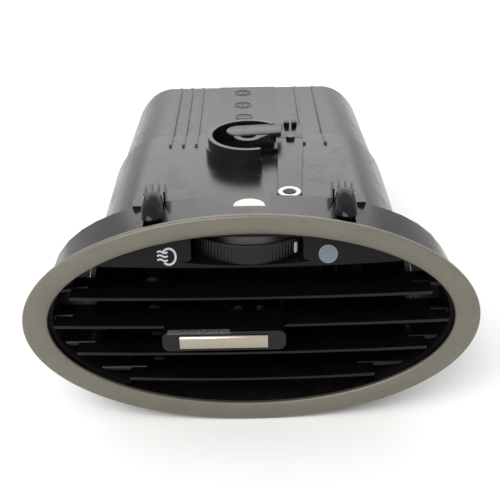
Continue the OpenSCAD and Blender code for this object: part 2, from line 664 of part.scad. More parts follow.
// Crank pressed on the shaft inside the round wall, with an arm out through its open side
module flap_crank() {
    color("#141415") placed() translate([0, flap_y, 0]) difference() {
        union() {
            translate([0, 0, arm_z]) cylinder(r = shaft_r + 2.4, h = turret_h - 0.8);
            rotate([0, 0, flap_angle]) {
                translate([flap_crank_r, 0, arm_z]) cylinder(r = 4.2, h = arm_t);
                crank_arm();
                translate([flap_crank_r, 0, arm_z]) cylinder(r = 1.8, h = arm_t + link_t + 1.6);
            }
        }
        translate([0, 0, arm_z - 1]) cylinder(r = shaft_r, h = turret_h + 2);
    }
}
module crank_arm() {
    translate([0, 0, arm_z]) linear_extrude(arm_t) polygon([[2, -4.2], [flap_crank_r, -4.2], [flap_crank_r, 4.2], [2, 4.2]]);
    translate([0, 0, arm_z]) linear_extrude(turret_h - 0.8) polygon([[2, -5], [turret_r - 6, -2.6], [turret_r - 6, 2.6], [2, 5]]);
}

// Flat bar from the flap's crank to the wheel's crank pin
module link_bar() {
    color("#1d1d1e") placed() translate([flap_pin[0], flap_pin[1], link_z]) rotate([0, 0, link_dir]) difference() {
        union() {
            cylinder(r = link_tail_r, h = link_t);
            translate([link_len, 0, 0]) cylinder(r = link_end_r, h = link_t);
            linear_extrude(link_t) polygon([[0, -link_tail_r], [link_len, 0.4 - link_end_r], [link_len, link_end_r - 0.4], [0, link_tail_r]]);
        }
        translate([0, 0, -1]) cylinder(r = 1.8 + run, h = link_t + 2);
        translate([link_len, 0, -1]) cylinder(r = bush_r, h = link_t + 2);
    }
}

module link_bush() {
    color("#e6e5dc") placed() translate([crank_pin[0], crank_pin[1], link_z]) difference() {
        cylinder(r = bush_r, h = link_t);
        translate([0, 0, -1]) cylinder(r = eye_r, h = link_t + 2);
    }
}

// Barbed push-in clip: a foot on the top plate, upright fins, and a nose with a barb in the skirt's window
module snap_clip() {
    base = plate_z + top_plate_t;
    color("#101011") placed() translate([clip_x, 0, 0]) {
        block([-4.5, rear_wall_y + 2.4, base], [4.5, top_plate_end, base + 1.2]);
        for (x = [-4.2, -1.6, 1]) block([x, rear_wall_y + 2.6, base + 1], [x + 1, top_plate_end - 0.4, base + 4.8]);
        along_x(-clip_w / 2, clip_w / 2) polygon([[clip_y, base - 2], [rear_wall_y - 1, base - 2], [rear_wall_y - 1, base + 2.6],
            [rear_wall_y + 3, base + 2.6], [rear_wall_y + 3, base + 3.8], [rear_wall_y - 2, base + 6], [clip_y + 3, base + 6.4], [clip_y, base + 4.4]]);
    }
}
module snap_clip_right() { snap_clip(); }
module snap_clip_left() { mirror([1, 0, 0]) snap_clip(); }

bezel_ring();
front_collar();
fascia_panel();
closed_lens();
duct_upper();
duct_lower();
pivot_strip_left();
pivot_strip_right();
front_vane_1();
front_vane_2();
front_vane_3();
front_vane_4();
front_vane_link();
knob_body();
knob_trim();
knob_fork();
rear_vane_1();
rear_vane_2();
rear_vane_3();
rear_vane_4();
rear_vane_5();
rear_vane_6();
rear_vane_7();
rear_vane_link();
rear_rail_top();
rear_rail_bottom();
thumbwheel();
wheel_mark();
wheel_hub_pin();
flap_plate();
flap_seal();
flap_crank();
link_bar();
link_bush();
snap_clip_left();
snap_clip_right();
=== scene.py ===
from math import cos, hypot, pi, radians, sin, sqrt
import bmesh
import bpy
from mathutils import Matrix, Vector


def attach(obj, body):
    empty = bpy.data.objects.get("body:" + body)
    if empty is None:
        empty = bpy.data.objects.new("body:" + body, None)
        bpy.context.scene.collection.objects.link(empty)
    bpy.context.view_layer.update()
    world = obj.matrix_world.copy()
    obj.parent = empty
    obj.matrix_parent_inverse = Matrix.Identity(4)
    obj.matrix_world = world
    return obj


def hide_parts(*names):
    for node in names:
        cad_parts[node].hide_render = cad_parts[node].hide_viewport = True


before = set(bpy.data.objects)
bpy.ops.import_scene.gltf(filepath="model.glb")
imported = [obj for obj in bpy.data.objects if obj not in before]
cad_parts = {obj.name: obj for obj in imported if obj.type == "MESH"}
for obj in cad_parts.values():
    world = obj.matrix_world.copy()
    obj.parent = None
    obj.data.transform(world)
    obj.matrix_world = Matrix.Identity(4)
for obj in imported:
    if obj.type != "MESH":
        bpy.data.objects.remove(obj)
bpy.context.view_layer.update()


# Duct shells
# Two thin shells of black ABS, moulded in polished tools and welded along a seam on each side.
# Their gloss is broken only by faint sink waves and by the scuffs of handling.
def linear(code):
    parts = [int(code[i:i + 2], 16) / 255 for i in (1, 3, 5)]
    return tuple(c / 12.92 if c <= 0.04045 else ((c + 0.055) / 1.055) ** 2.4 for c in parts) + (1,)


def add(tree, kind, settings=(), links=()):
    made = tree.nodes.new(kind)
    for key, value in dict(settings).items():
        if isinstance(key, str) and hasattr(made, key):
            setattr(made, key, value)
        else:
            made.inputs[key].default_value = value
    for key, source in dict(links).items():
        tree.links.new(source, made.inputs[key])
    return made


def place(x, y, z):
    """A point given in mm from the middle of the ring's crown, in metres in the shared frame."""
    return Vector((x, y - 79, z + 44.5)) / 1000


def moulded(name, colour, wear_and_highlight, rough, scuff, grain, depth, coat=0.0, ior=1.53):
    """Moulded plastic: grain and depth in mm give the texture's spacing and height."""
    material = bpy.data.materials.new(name)
    material.use_nodes = True
    tree = material.node_tree
    tree.nodes.clear()
    spot = add(tree, "ShaderNodeTexCoord").outputs["Object"]
    fine = add(tree, "ShaderNodeTexNoise", {"Scale": 1000 / grain, "Detail": 4, "Roughness": 0.55},
               {"Vector": spot})
    marks = add(tree, "ShaderNodeTexNoise", {"Scale": 95, "Detail": 9, "Roughness": 0.72, "Distortion": 0.6},
                {"Vector": spot})
    rubbed = add(tree, "ShaderNodeMapRange",
                 {"From Min": 0.5, "From Max": 0.72, "To Min": rough, "To Max": rough + scuff},
                 {"Value": marks.outputs["Fac"]})
    patch = add(tree, "ShaderNodeMapRange", {"From Min": 0.45, "From Max": 0.75, "To Min": 0, "To Max": 1},
                {"Value": marks.outputs["Fac"]})
    tint = add(tree, "ShaderNodeMix", {"data_type": "RGBA", 6: linear(colour), 7: linear(wear_and_highlight)},
               {0: patch.outputs[0]})
    bump = add(tree, "ShaderNodeBump", {"Strength": 1, "Distance": depth / 1000},
               {"Height": fine.outputs["Fac"]})
    shader = add(tree, "ShaderNodeBsdfPrincipled", {"IOR": ior, "Coat Weight": coat, "Coat Roughness": 0.05},
                 {"Base Color": tint.outputs[2], "Roughness": rubbed.outputs[0], "Normal": bump.outputs[0]})
    add(tree, "ShaderNodeOutputMaterial", (), {"Surface": shader.outputs[0]})
    return material


smoothing = bpy.data.node_groups.new("Smooth curved faces", "GeometryNodeTree")
smoothing.interface.new_socket("Geometry", in_out="INPUT", socket_type="NodeSocketGeometry")
sharp = smoothing.interface.new_socket("Sharp Angle", in_out="INPUT", socket_type="NodeSocketFloat")
sharp.default_value = radians(32)
smoothing.interface.new_socket("Geometry", in_out="OUTPUT", socket_type="NodeSocketGeometry")
given = add(smoothing, "NodeGroupInput")
merged = add(smoothing, "GeometryNodeMergeByDistance", {"Distance": 1e-6}, {"Geometry": given.outputs[0]})
faces = add(smoothing, "GeometryNodeSetShadeSmooth", {"domain": "FACE", "Shade Smooth": True},
            {"Geometry": merged.outputs[0]})
angle = add(smoothing, "GeometryNodeInputMeshEdgeAngle")
soft = add(smoothing, "FunctionNodeCompare", {"data_type": "FLOAT", "operation": "LESS_EQUAL"},
           {0: angle.outputs[0], 1: given.outputs["Sharp Angle"]})
edges = add(smoothing, "GeometryNodeSetShadeSmooth", {"domain": "EDGE"},
            {"Geometry": faces.outputs[0], "Shade Smooth": soft.outputs[0]})
add(smoothing, "NodeGroupOutput", (), {0: edges.outputs[0]})


def finish(names, material, edge=0.0):
    """Gives CAD pieces their material, smooth curves and, with edge in mm, the radius of their mould."""
    for name in names:
        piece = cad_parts[name]
        for held in piece.material_slots:
            held.material = material
        if not piece.material_slots:
            piece.data.materials.append(material)
        piece.modifiers.new("Join facets", "NODES").node_group = smoothing
        if edge:
            flat = piece.modifiers.new("Whole faces", "DECIMATE")
            flat.decimate_type = "DISSOLVE"
            flat.angle_limit = radians(0.6)
            radius = piece.modifiers.new("Mould radius", "BEVEL")
            radius.width = edge / 1000
            radius.segments = 2
            radius.limit_method = "ANGLE"
            radius.angle_limit = radians(34)
            radius.use_clamp_overlap = True
            radius.miter_outer = "MITER_ARC"
        piece.modifiers.new("Smooth curves", "NODES").node_group = smoothing
        even = piece.modifiers.new("Even shading", "WEIGHTED_NORMAL")
        even.keep_sharp = True


# Glossy ABS from a polished tool: deep black, with soft reflections and a slow ripple every 6 mm
gloss_abs = moulded("Glossy black ABS", "#161414", "#201d1d", 0.23, 0.14, 6.0, 0.02, ior=1.47)
finish(["duct_upper", "duct_lower"], gloss_abs, 0.25)

# Collar
# The flared collar is moulded in the same glossy black ABS and closes over the duct's front.
# Its top plate carries two sprung clips of black acetal, which come near the end.
collar_abs = moulded("Black ABS of the collar", "#151313", "#1f1c1c", 0.22, 0.16, 4.0, 0.015, ior=1.45)
finish(["front_collar"], collar_abs, 0.2)
acetal = moulded("Black acetal", "#050505", "#0b0b0c", 0.09, 0.16, 1.6, 0.01, ior=1.3)

# Trim ring
# An oval ring of ABS in satin warm silver paint. It is moulded in two halves of a tool, so a hair-fine
# parting line crosses it at the middle of its top and bottom.
ring = bpy.data.node_groups.new("Oval ring", "GeometryNodeTree")
ring.interface.new_socket("Geometry", in_out="INPUT", socket_type="NodeSocketGeometry")
for title, value in (("Half Width", 0.083), ("Half Height", 0.0445), ("Side Width", 0.009),
                     ("Top Width", 0.0075), ("Depth", 0.005)):
    ring.interface.new_socket(title, in_out="INPUT", socket_type="NodeSocketFloat").default_value = value
ring.interface.new_socket("Steps Around", in_out="INPUT", socket_type="NodeSocketInt").default_value = 289
ring.interface.new_socket("Steps Across", in_out="INPUT", socket_type="NodeSocketInt").default_value = 61
ring.interface.new_socket("Paint", in_out="INPUT", socket_type="NodeSocketMaterial")
ring.interface.new_socket("Geometry", in_out="OUTPUT", socket_type="NodeSocketGeometry")
given = add(ring, "NodeGroupInput")
band = add(ring, "GeometryNodeMeshGrid", {"Size X": 1, "Size Y": 1},
           {"Vertices X": given.outputs["Steps Around"], "Vertices Y": given.outputs["Steps Across"]})
spot = add(ring, "ShaderNodeSeparateXYZ", (), {0: add(ring, "GeometryNodeInputPosition").outputs[0]})
turn = add(ring, "ShaderNodeMath", {"operation": "MULTIPLY_ADD", 1: 2 * pi, 2: pi}, {0: spot.outputs[0]})
along = add(ring, "ShaderNodeMath", {"operation": "ADD", 1: 0.5}, {0: spot.outputs[1]})
# The section in shares of width and depth: the chamfered outer rear edge, the rounded crown, the inner wall
# that flares to the rear, and the rear face with its seat
section = [(0.33, 1), (0.26, 0.7), (0.02, 0.5), (0, 0.42),
           (0, 0.2), (0.03, 0.1), (0.1, 0.04), (0.28, 0.005), (0.5, 0), (0.74, 0.05), (0.91, 0.14),
           (0.985, 0.22), (1, 0.3), (0.86, 0.6), (0.78, 0.92), (0.38, 0.92), (0.38, 1), (0.33, 1)]
first_soft, last_soft = 4, 12
reach = [0.0]
for a, b in zip(section, section[1:]):
    reach.append(reach[-1] + max(hypot((b[0] - a[0]) * 9, (b[1] - a[1]) * 5), 0.01))
shares = []
for which in (0, 1):
    share = add(ring, "ShaderNodeFloatCurve", (), {"Value": along.outputs[0]})
    line = share.mapping.curves[0]
    for k, (point, far) in enumerate(zip(section, reach)):
        at = (far / reach[-1], point[which])
        last = k == len(section) - 1
        knot = line.points[0] if k == 0 else line.points[-1] if last else line.points.new(*at)
        knot.location = at
    for k, knot in enumerate(line.points):
        knot.handle_type = "AUTO_CLAMPED" if first_soft <= k <= last_soft else "VECTOR"
    share.mapping.update()
    shares.append(share.outputs[0])
sides = []
for far, width, wave in (("Half Width", "Side Width", "COSINE"), ("Half Height", "Top Width", "SINE")):
    inset = add(ring, "ShaderNodeMath", {"operation": "MULTIPLY"}, {0: given.outputs[width], 1: shares[0]})
    size = add(ring, "ShaderNodeMath", {"operation": "SUBTRACT"},
               {0: given.outputs[far], 1: inset.outputs[0]})
    swing = add(ring, "ShaderNodeMath", {"operation": wave}, {0: turn.outputs[0]})
    sides.append(add(ring, "ShaderNodeMath", {"operation": "MULTIPLY"},
                     {0: size.outputs[0], 1: swing.outputs[0]}))
back = add(ring, "ShaderNodeMath", {"operation": "MULTIPLY"}, {0: given.outputs["Depth"], 1: shares[1]})
bent = add(ring, "ShaderNodeCombineXYZ", (),
           {0: sides[0].outputs[0], 1: back.outputs[0], 2: sides[1].outputs[0]})
moved = add(ring, "GeometryNodeSetPosition", (), {"Geometry": band.outputs[0], "Position": bent.outputs[0]})
home = add(ring, "GeometryNodeTransform", {"Translation": place(0, 0, 0)}, {"Geometry": moved.outputs[0]})
closed = add(ring, "GeometryNodeMergeByDistance", {"Distance": 2e-6}, {"Geometry": home.outputs[0]})
smooth = add(ring, "GeometryNodeSetShadeSmooth", {"Shade Smooth": True}, {"Geometry": closed.outputs[0]})
real = add(ring, "GeometryNodeRealizeInstances", (), {"Geometry": smooth.outputs[0]})
painted = add(ring, "GeometryNodeSetMaterial", (),
              {"Geometry": real.outputs[0], "Material": given.outputs["Paint"]})
add(ring, "NodeGroupOutput", (), {0: painted.outputs[0]})

# Satin silver paint over ABS: fine metal flake under a thin clear coat. Its flakes are drawn 0.3 mm apart,
# coarser than real, so that they show. The parting line is a groove 0.14 mm wide.
paint = bpy.data.materials.new("Satin silver paint")
paint.use_nodes = True
tree = paint.node_tree
tree.nodes.clear()
spot = add(tree, "ShaderNodeTexCoord").outputs["Object"]
flake = add(tree, "ShaderNodeTexVoronoi", {"Scale": 3600}, {"Vector": spot})
cloud = add(tree, "ShaderNodeTexNoise", {"Scale": 60, "Detail": 5, "Roughness": 0.6}, {"Vector": spot})
sparkle = add(tree, "ShaderNodeSeparateColor", (), {0: flake.outputs["Color"]})
blend = add(tree, "ShaderNodeMath", {"operation": "MULTIPLY_ADD", 1: 0.45},
            {0: sparkle.outputs[0], 2: cloud.outputs["Fac"]})
level = add(tree, "ShaderNodeMapRange", {"From Min": 0.35, "From Max": 1.05}, {"Value": blend.outputs[0]})
tint = add(tree, "ShaderNodeMix", {"data_type": "RGBA", 6: linear("#5f5b51"), 7: linear("#6f6b60")},
           {0: level.outputs[0]})
across = add(tree, "ShaderNodeSeparateXYZ", (), {0: spot})
groove = add(tree, "ShaderNodeMath", {"operation": "COMPARE", 1: 0, 2: 0.00007}, {0: across.outputs[0]})
relief = add(tree, "ShaderNodeMath", {"operation": "MULTIPLY_ADD", 1: -3},
             {0: groove.outputs[0], 2: flake.outputs["Distance"]})
bump = add(tree, "ShaderNodeBump", {"Strength": 0.5, "Distance": 0.00004}, {"Height": relief.outputs[0]})
shader = add(tree, "ShaderNodeBsdfPrincipled",
             {"Metallic": 0.35, "Roughness": 0.42, "Coat Weight": 0.15, "Coat Roughness": 0.3},
             {"Base Color": tint.outputs[2], "Normal": bump.outputs[0]})
add(tree, "ShaderNodeOutputMaterial", (), {"Surface": shader.outputs[0]})


def made_by(tree, name, material, points=()):
    """Runs a geometry tree on a mesh of loose points and returns the plain mesh object that it makes."""
    holder = bpy.data.objects.new("holder", bpy.data.meshes.new("holder"))
    holder.data.from_pydata(list(points), [], [])
    bpy.context.scene.collection.objects.link(holder)
    run = holder.modifiers.new("make", "NODES")
    run.node_group = tree
    for socket in tree.interface.items_tree:
        if socket.in_out == "INPUT" and socket.socket_type == "NodeSocketMaterial":
            run[socket.identifier] = material
    bpy.context.view_layer.update()
    mesh = bpy.data.meshes.new_from_object(holder.evaluated_get(bpy.context.evaluated_depsgraph_get()))
    holder.modifiers.remove(run)
    bpy.data.objects.remove(holder)
    form = bmesh.new()
    form.from_mesh(mesh)
    bmesh.ops.recalc_face_normals(form, faces=form.faces)
    form.to_mesh(mesh)
    form.free()
    mesh.name = name
    piece = bpy.data.objects.new(name, mesh)
    bpy.context.scene.collection.objects.link(piece)
    return piece


trim_ring = made_by(ring, "trim_ring", paint)
trim_ring.modifiers.new("Smooth curves", "NODES").node_group = smoothing
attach(trim_ring, "housing")
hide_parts("bezel_ring")

# Fascia, its symbol and its lens
# The panel around the wheel is black ABS with a fine matt grain of 0.4 mm, and slopes forward to a rounded
# lip. A printed symbol marks the open side. A smoked round lens in a thin raised rim marks the closed side.
grained = moulded("Fine grained black ABS", "#070708", "#0c0c0d", 0.4, 0.12, 0.4, 0.018, ior=1.27)


def shell(name, form, material, body, *cutters, edge=0.0):
    """Makes an object from a bmesh form, cuts the given forms out of it and fixes it to a body."""
    made = []
    for k, each in enumerate((form,) + cutters):
        bmesh.ops.recalc_face_normals(each, faces=each.faces)
        mesh = bpy.data.meshes.new(name)
        each.to_mesh(mesh)
        each.free()
        made.append(bpy.data.objects.new(name, mesh))
        bpy.context.scene.collection.objects.link(made[-1])
    piece = made[0]
    piece.data.materials.append(material)
    for cutter in made[1:]:
        cut = piece.modifiers.new("cut", "BOOLEAN")
        cut.operation, cut.solver, cut.object = "DIFFERENCE", "EXACT", cutter
    bpy.context.view_layer.update()
    mesh = bpy.data.meshes.new_from_object(piece.evaluated_get(bpy.context.evaluated_depsgraph_get()))
    piece.modifiers.clear()
    piece.data = mesh
    piece.name = mesh.name = name
    for cutter in made[1:]:
        bpy.data.objects.remove(cutter)
    if edge:
        radius = piece.modifiers.new("Mould radius", "BEVEL")
        radius.width, radius.segments = edge / 1000, 3
        radius.limit_method, radius.angle_limit = "ANGLE", radians(30)
    piece.modifiers.new("Smooth curves", "NODES").node_group = smoothing
    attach(piece, body)
    return piece


def prism(outline, start, end):
    """A bmesh prism from an outline of mm points, each mapped by start and end to a point in space."""
    form = bmesh.new()
    rings = [[form.verts.new(place(*at(*point))) for point in outline] for at in (start, end)]
    form.faces.new(rings[0])
    form.faces.new(rings[1][::-1])
    for k in range(len(outline)):
        j = (k + 1) % len(outline)
        form.faces.new((rings[0][k], rings[0][j], rings[1][j], rings[1][k]))
    return form


lean = 0.29
lip_middle, lip_rise, lip_reach = 23.75, 1.55, 54
half_span, panel_width, panel_height, wall = 56, 75.5, 38.3, 1.5


def lip(x):
    """Height of the lip's lower edge at x, and how far it stands behind the ring's crown, in mm."""
    return lip_middle + lip_rise * (x / lip_reach) ** 2, 1 + 0.1 * (x / lip_reach) ** 2


def on_face(x, z, proud=0.0):
    """The point of the sloped face at x and z, proud by some mm, all measured from the crown's middle."""
    low, front = lip(x)
    return place(x, front + lean * (z - low) - proud, z)


form = bmesh.new()
columns = []
for x in range(-half_span, half_span + 1):
    low, front = lip(x)
    high = max(panel_height * sqrt(1 - (x / panel_width) ** 2), low + 1.05)
    rise = high - low
    back = lean * rise
    around = ((6.1, -0.5), (1.0, -0.45), (0.25, -0.2), (0, 0.15), (0.1, 0.45),
              (back / 2, rise / 2), (back, rise), (back + wall, rise), (2 * wall + 0.2 + back / 2, rise / 2),
              (3.1, 0.9), (6.1, 0.9))
    columns.append([form.verts.new(place(x, front + y, low + z)) for y, z in around])
corners = len(columns[0])
for a, b in zip(columns, columns[1:]):
    for i in range(corners):
        j = (i + 1) % corners
        form.faces.new((a[i], b[i], b[j], a[j]))
form.faces.new(columns[0])
form.faces.new(columns[-1][::-1])
# The wheel's window, with a finger scoop drawn out to a point at each lower corner
window = [(-20.6, 33.6), (-20.6, 26.9), (-21.4, 26.35), (-23.6, 26.1), (-21.6, 25.75), (-17, 25.3),
          (-8, 24.75), (-1, 24.6), (6, 24.7), (15, 25.1), (19.6, 25.5), (21.6, 25.9), (19.4, 26.15),
          (18.6, 26.7), (18.6, 33.1), (17.6, 34.1), (-19.6, 34.6)]
opening = prism(window, lambda x, z: (x, -2, z), lambda x, z: (x, 12, z))
fascia = shell("sloped_fascia", form, grained, "housing", opening)
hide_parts("fascia_panel")

# Pad print, 0.07 mm proud: a ring open to the left with three waves of air that leave it
ink = moulded("Light grey print", "#a9aaac", "#b6b7b8", 0.5, 0.1, 0.3, 0.004)


def ribbon(form, points, width, deep):
    """A flat line of print along points (x, z) in mm, standing proud of the sloped fascia by deep mm."""
    rows = []
    for k, (x, z) in enumerate(points):
        a, b = points[max(k - 1, 0)], points[min(k + 1, len(points) - 1)]
        run = hypot(b[0] - a[0], b[1] - a[1]) or 1
        nx, nz = -(b[1] - a[1]) / run * width / 2, (b[0] - a[0]) / run * width / 2
        rows.append([form.verts.new(on_face(x + side * nx, z + side * nz, proud))
                     for side, proud in ((1, -0.05), (1, deep), (-1, deep), (-1, -0.05))])
    for a, b in zip(rows, rows[1:]):
        for i in range(4):
            form.faces.new((a[i], b[i], b[(i + 1) % 4], a[(i + 1) % 4]))
    form.faces.new(rows[0])
    form.faces.new(rows[-1][::-1])


form = bmesh.new()
middle_x, middle_z, print_proud, wave_steps = -28.3, 28.15, 0.07, 14
arc = [(middle_x + 2.4 * cos(radians(t)), middle_z + 2.75 * sin(radians(t))) for t in range(-132, 141, 8)]
ribbon(form, arc, 0.72, print_proud)
for row in (1.6, 0.25, -1.15):
    wave = [(middle_x - 4.0 + 3.6 * k / wave_steps, middle_z + row + 0.34 * sin(2 * pi * k / wave_steps))
            for k in range(wave_steps + 1)]
    ribbon(form, wave, 0.6, print_proud)
shell("open_symbol", form, ink, "housing")


def turned(name, profile, material, centre, axis, steps=64):
    """A round piece from its profile (radius, height) in mm, spun about an axis through centre."""
    form = bmesh.new()
    rows = []
    for r, h in profile:
        if r < 1e-6:
            rows.append([form.verts.new((0, 0, h / 1000))])
        else:
            turns = [2 * pi * k / steps for k in range(steps)]
            rows.append([form.verts.new((r / 1000 * cos(t), r / 1000 * sin(t), h / 1000)) for t in turns])
    for a, b in zip(rows, rows[1:]):
        for k in range(steps):
            j = (k + 1) % steps
            corners = [a[k % len(a)], a[j % len(a)], b[j % len(b)], b[k % len(b)]]
            form.faces.new(list(dict.fromkeys(corners)))
    bmesh.ops.recalc_face_normals(form, faces=form.faces)
    mesh = bpy.data.meshes.new(name)
    form.to_mesh(mesh)
    form.free()
    lean_over = Vector((0, 0, 1)).rotation_difference(Vector(axis)).to_matrix().to_4x4()
    mesh.transform(Matrix.Translation(centre) @ lean_over)
    mesh.materials.append(material)
    piece = bpy.data.objects.new(name, mesh)
    bpy.context.scene.collection.objects.link(piece)
    piece.modifiers.new("Smooth curves", "NODES").node_group = smoothing
    return piece


smoke = moulded("Smoked polycarbonate", "#5d646e", "#656c76", 0.16, 0.08, 3.0, 0.004, coat=0.3, ior=1.5)
rim_grey = moulded("Grey ABS of the rim", "#73777d", "#7d8187", 0.34, 0.1, 1.5, 0.004)
outward, seat_of_lens = (0, -1, lean), place(27.2, 2.2, 28.05)
lens_section = [(0, -1.2), (2.9, -1.2), (2.95, 0.1), (2.7, 0.16), (1.9, 0.2), (0, 0.22)]
rim_section = [(2.95, -1.0), (3.3, -1.0), (3.3, 0.16), (3.18, 0.26), (3.02, 0.24), (2.93, 0.1), (2.95, -1.0)]
lens = turned("closed_mark_lens", lens_section, smoke, seat_of_lens, outward)
rim = turned("closed_mark_rim", rim_section, rim_grey, seat_of_lens, outward)
for piece in (lens, rim):
    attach(piece, "housing")
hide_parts("closed_lens")

# Curved pivot strips, rails and link bars inside the mouth
# Unpolished black acetal and ABS, which stay dull and dark in the depth of the vent.
dull = moulded("Dull black acetal", "#040404", "#060606", 0.6, 0.12, 0.9, 0.012, ior=1.3)
finish(["pivot_strip_left", "pivot_strip_right", "rear_rail_top", "rear_rail_bottom", "front_vane_link",
        "rear_vane_link", "knob_fork"], dull)

# Horizontal and vertical vanes
# Stiff black PBT with a very fine spark-eroded texture, so that only the rounded front edges catch the light.
vane_pbt = moulded("Black PBT of the vanes", "#050506", "#080809", 0.34, 0.12, 0.5, 0.012, ior=1.33)
finish(["front_vane_%d" % n for n in range(1, 5)], vane_pbt, 0.2)
finish(["rear_vane_%d" % n for n in range(1, 8)], vane_pbt)

# Sliding knob with its bright bar
# The grip is piano black ABS and slides along the second vane. The bar in its front is ABS plated with satin
# chrome, 31 mm long, with a bright bevel along its upper edge.
piano = moulded("Piano black ABS", "#060607", "#0b0b0c", 0.1, 0.14, 8.0, 0.008, ior=1.36)


def rounded(wide, high, r, steps=8):
    """Corner points of a rounded rectangle around zero, in mm."""
    outline = []
    for right, up, first in ((1, 1, 0), (-1, 1, 90), (-1, -1, 180), (1, -1, 270)):
        for k in range(steps + 1):
            t = radians(first + 90 * k / steps)
            outline.append((right * (wide / 2 - r) + r * cos(t), up * (high / 2 - r) + r * sin(t)))
    return outline


# A pale painted highlight lies along the upper front edge of the grip on its left half, broken into streaks
# by fine noise. The ranges are metres in the frame.
tree = piano.node_tree
shader = next(n for n in tree.nodes if n.type == "BSDF_PRINCIPLED")
spot = next(n for n in tree.nodes if n.type == "TEX_COORD").outputs["Object"]
place_of = add(tree, "ShaderNodeSeparateXYZ", (), {0: spot})
masks = []
for which, low, high in ((0, -0.0295, -0.0075), (1, -0.0887, -0.0868), (2, 0.0476, 0.0487)):
    inside = add(tree, "ShaderNodeMath", {"operation": "COMPARE", 1: (low + high) / 2, 2: (high - low) / 2},
                 {0: place_of.outputs[which]})
    masks.append(inside.outputs[0])
highlight_streaks = add(tree, "ShaderNodeTexNoise", {"Scale": 4200, "Detail": 2, "Roughness": 0.6}, {"Vector": spot})
broken_highlight = add(tree, "ShaderNodeMapRange", {"From Min": 0.46, "From Max": 0.7, "To Max": 0.6},
           {"Value": highlight_streaks.outputs["Fac"]})
both = add(tree, "ShaderNodeMath", {"operation": "MULTIPLY"}, {0: masks[0], 1: masks[1]})
every = add(tree, "ShaderNodeMath", {"operation": "MULTIPLY"}, {0: both.outputs[0], 1: masks[2]})
wear_and_highlight = add(tree, "ShaderNodeMath", {"operation": "MULTIPLY"}, {0: every.outputs[0], 1: broken_highlight.outputs[0]})
plain = shader.inputs["Base Color"].links[0].from_socket
# Painted highlight: the pale colour is mixed into the grip's own colour wherever the edge mask is on
pale = add(tree, "ShaderNodeMix", {"data_type": "RGBA", 7: linear("#a9a9a8")}, {0: wear_and_highlight.outputs[0], 6: plain})
tree.links.new(pale.outputs[2], shader.inputs["Base Color"])

# The grip's rear half has a slot for the vane, and its front face a shallow seat for the bar
knob_mid, knob_face, knob_rear = -9.7, -9.4, 7.2
slot_front, slot_high, slot_reach = -1.2, 1.31, 24
bar_mid, bar_half = knob_mid - 0.1, 15.55
grip = prism(rounded(43.6, 8, 2.6), lambda x, z: (x + knob_mid, knob_face, z),
             lambda x, z: (x + knob_mid, knob_rear, z))
slot = [(-slot_reach, -slot_high), (slot_reach, -slot_high), (slot_reach, slot_high),
        (-slot_reach, slot_high)]
gap = prism(slot, lambda x, z: (x + knob_mid, slot_front, z), lambda x, z: (x + knob_mid, 9, z))
seat = prism(rounded(31.4, 5.3, 0.3),
             lambda x, z: (x + bar_mid, knob_face - 1, z), lambda x, z: (x + bar_mid, knob_face + 0.9, z))
grip = shell("knob_grip", grip, piano, "knob", gap, seat, edge=0.75)
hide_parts("knob_body")

# Satin chrome, brushed along the bar before plating: streaks run along X and are 0.3 mm apart
chrome = bpy.data.materials.new("Satin chrome plate")
chrome.use_nodes = True
tree = chrome.node_tree
tree.nodes.clear()
spot = add(tree, "ShaderNodeTexCoord").outputs["Object"]
drawn = add(tree, "ShaderNodeMapping", {"Scale": (60, 3000, 3000)}, {"Vector": spot})
grain = add(tree, "ShaderNodeTexNoise", {"Scale": 1, "Detail": 3}, {"Vector": drawn.outputs[0]})
rubbed = add(tree, "ShaderNodeMapRange", {"To Min": 0.24, "To Max": 0.36}, {"Value": grain.outputs["Fac"]})
bump = add(tree, "ShaderNodeBump", {"Strength": 0.4, "Distance": 0.00001}, {"Height": grain.outputs["Fac"]})
shader = add(tree, "ShaderNodeBsdfPrincipled", {"Base Color": linear("#a39b8f"), "Metallic": 1.0},
             {"Roughness": rubbed.outputs[0], "Normal": bump.outputs[0]})
add(tree, "ShaderNodeOutputMaterial", (), {"Surface": shader.outputs[0]})
profile = [(0.85, -2.5), (-0.75, -2.5), (-1.05, -2.3), (-1.1, -1.9), (-1.1, 1.75), (-1.0, 1.95), (-0.5, 2.42),
           (-0.3, 2.5), (0.85, 2.5)]
bar = prism(profile, lambda y, z: (bar_mid - bar_half, knob_face + y, z),
            lambda y, z: (bar_mid + bar_half, knob_face + y, z))
bar = shell("bright_bar", bar, chrome, "knob", edge=0.12)
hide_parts("knob_trim")

# Thumbwheel with its white mark, hub pin and bush
# The wheel has a knurled tread of soft black TPE, moulded around it. The mark is a pill of white nylon set
# into the tread. The hub's pin and the link bar's bush are the same nylon.
tread = moulded("Soft black TPE", "#0a0a0b", "#111112", 0.46, 0.14, 0.5, 0.01, ior=1.36)
finish(["thumbwheel"], tread)
nylon = moulded("White nylon", "#dfddd3", "#d3d0c4", 0.32, 0.12, 1.2, 0.01, ior=1.53)
finish(["wheel_hub_pin", "link_bush"], nylon, 0.15)

# The tree gives a rounded band with 120 ribs, each 0.28 mm deep, at heights above the frame's floor
knurl = bpy.data.node_groups.new("Knurled tread", "GeometryNodeTree")
knurl.interface.new_socket("Geometry", in_out="INPUT", socket_type="NodeSocketGeometry")
for title, value in (("Radius", 0.0243), ("Low", 0.0690), ("High", 0.0768), ("Rib Depth", 0.00028),
                     ("Ribs", 120)):
    knurl.interface.new_socket(title, in_out="INPUT", socket_type="NodeSocketFloat").default_value = value
knurl.interface.new_socket("Rubber", in_out="INPUT", socket_type="NodeSocketMaterial")
knurl.interface.new_socket("Geometry", in_out="OUTPUT", socket_type="NodeSocketGeometry")
given = add(knurl, "NodeGroupInput")
band = add(knurl, "GeometryNodeMeshGrid", {"Size X": 1, "Size Y": 1, "Vertices X": 961, "Vertices Y": 31})
spot = add(knurl, "ShaderNodeSeparateXYZ", (), {0: add(knurl, "GeometryNodeInputPosition").outputs[0]})
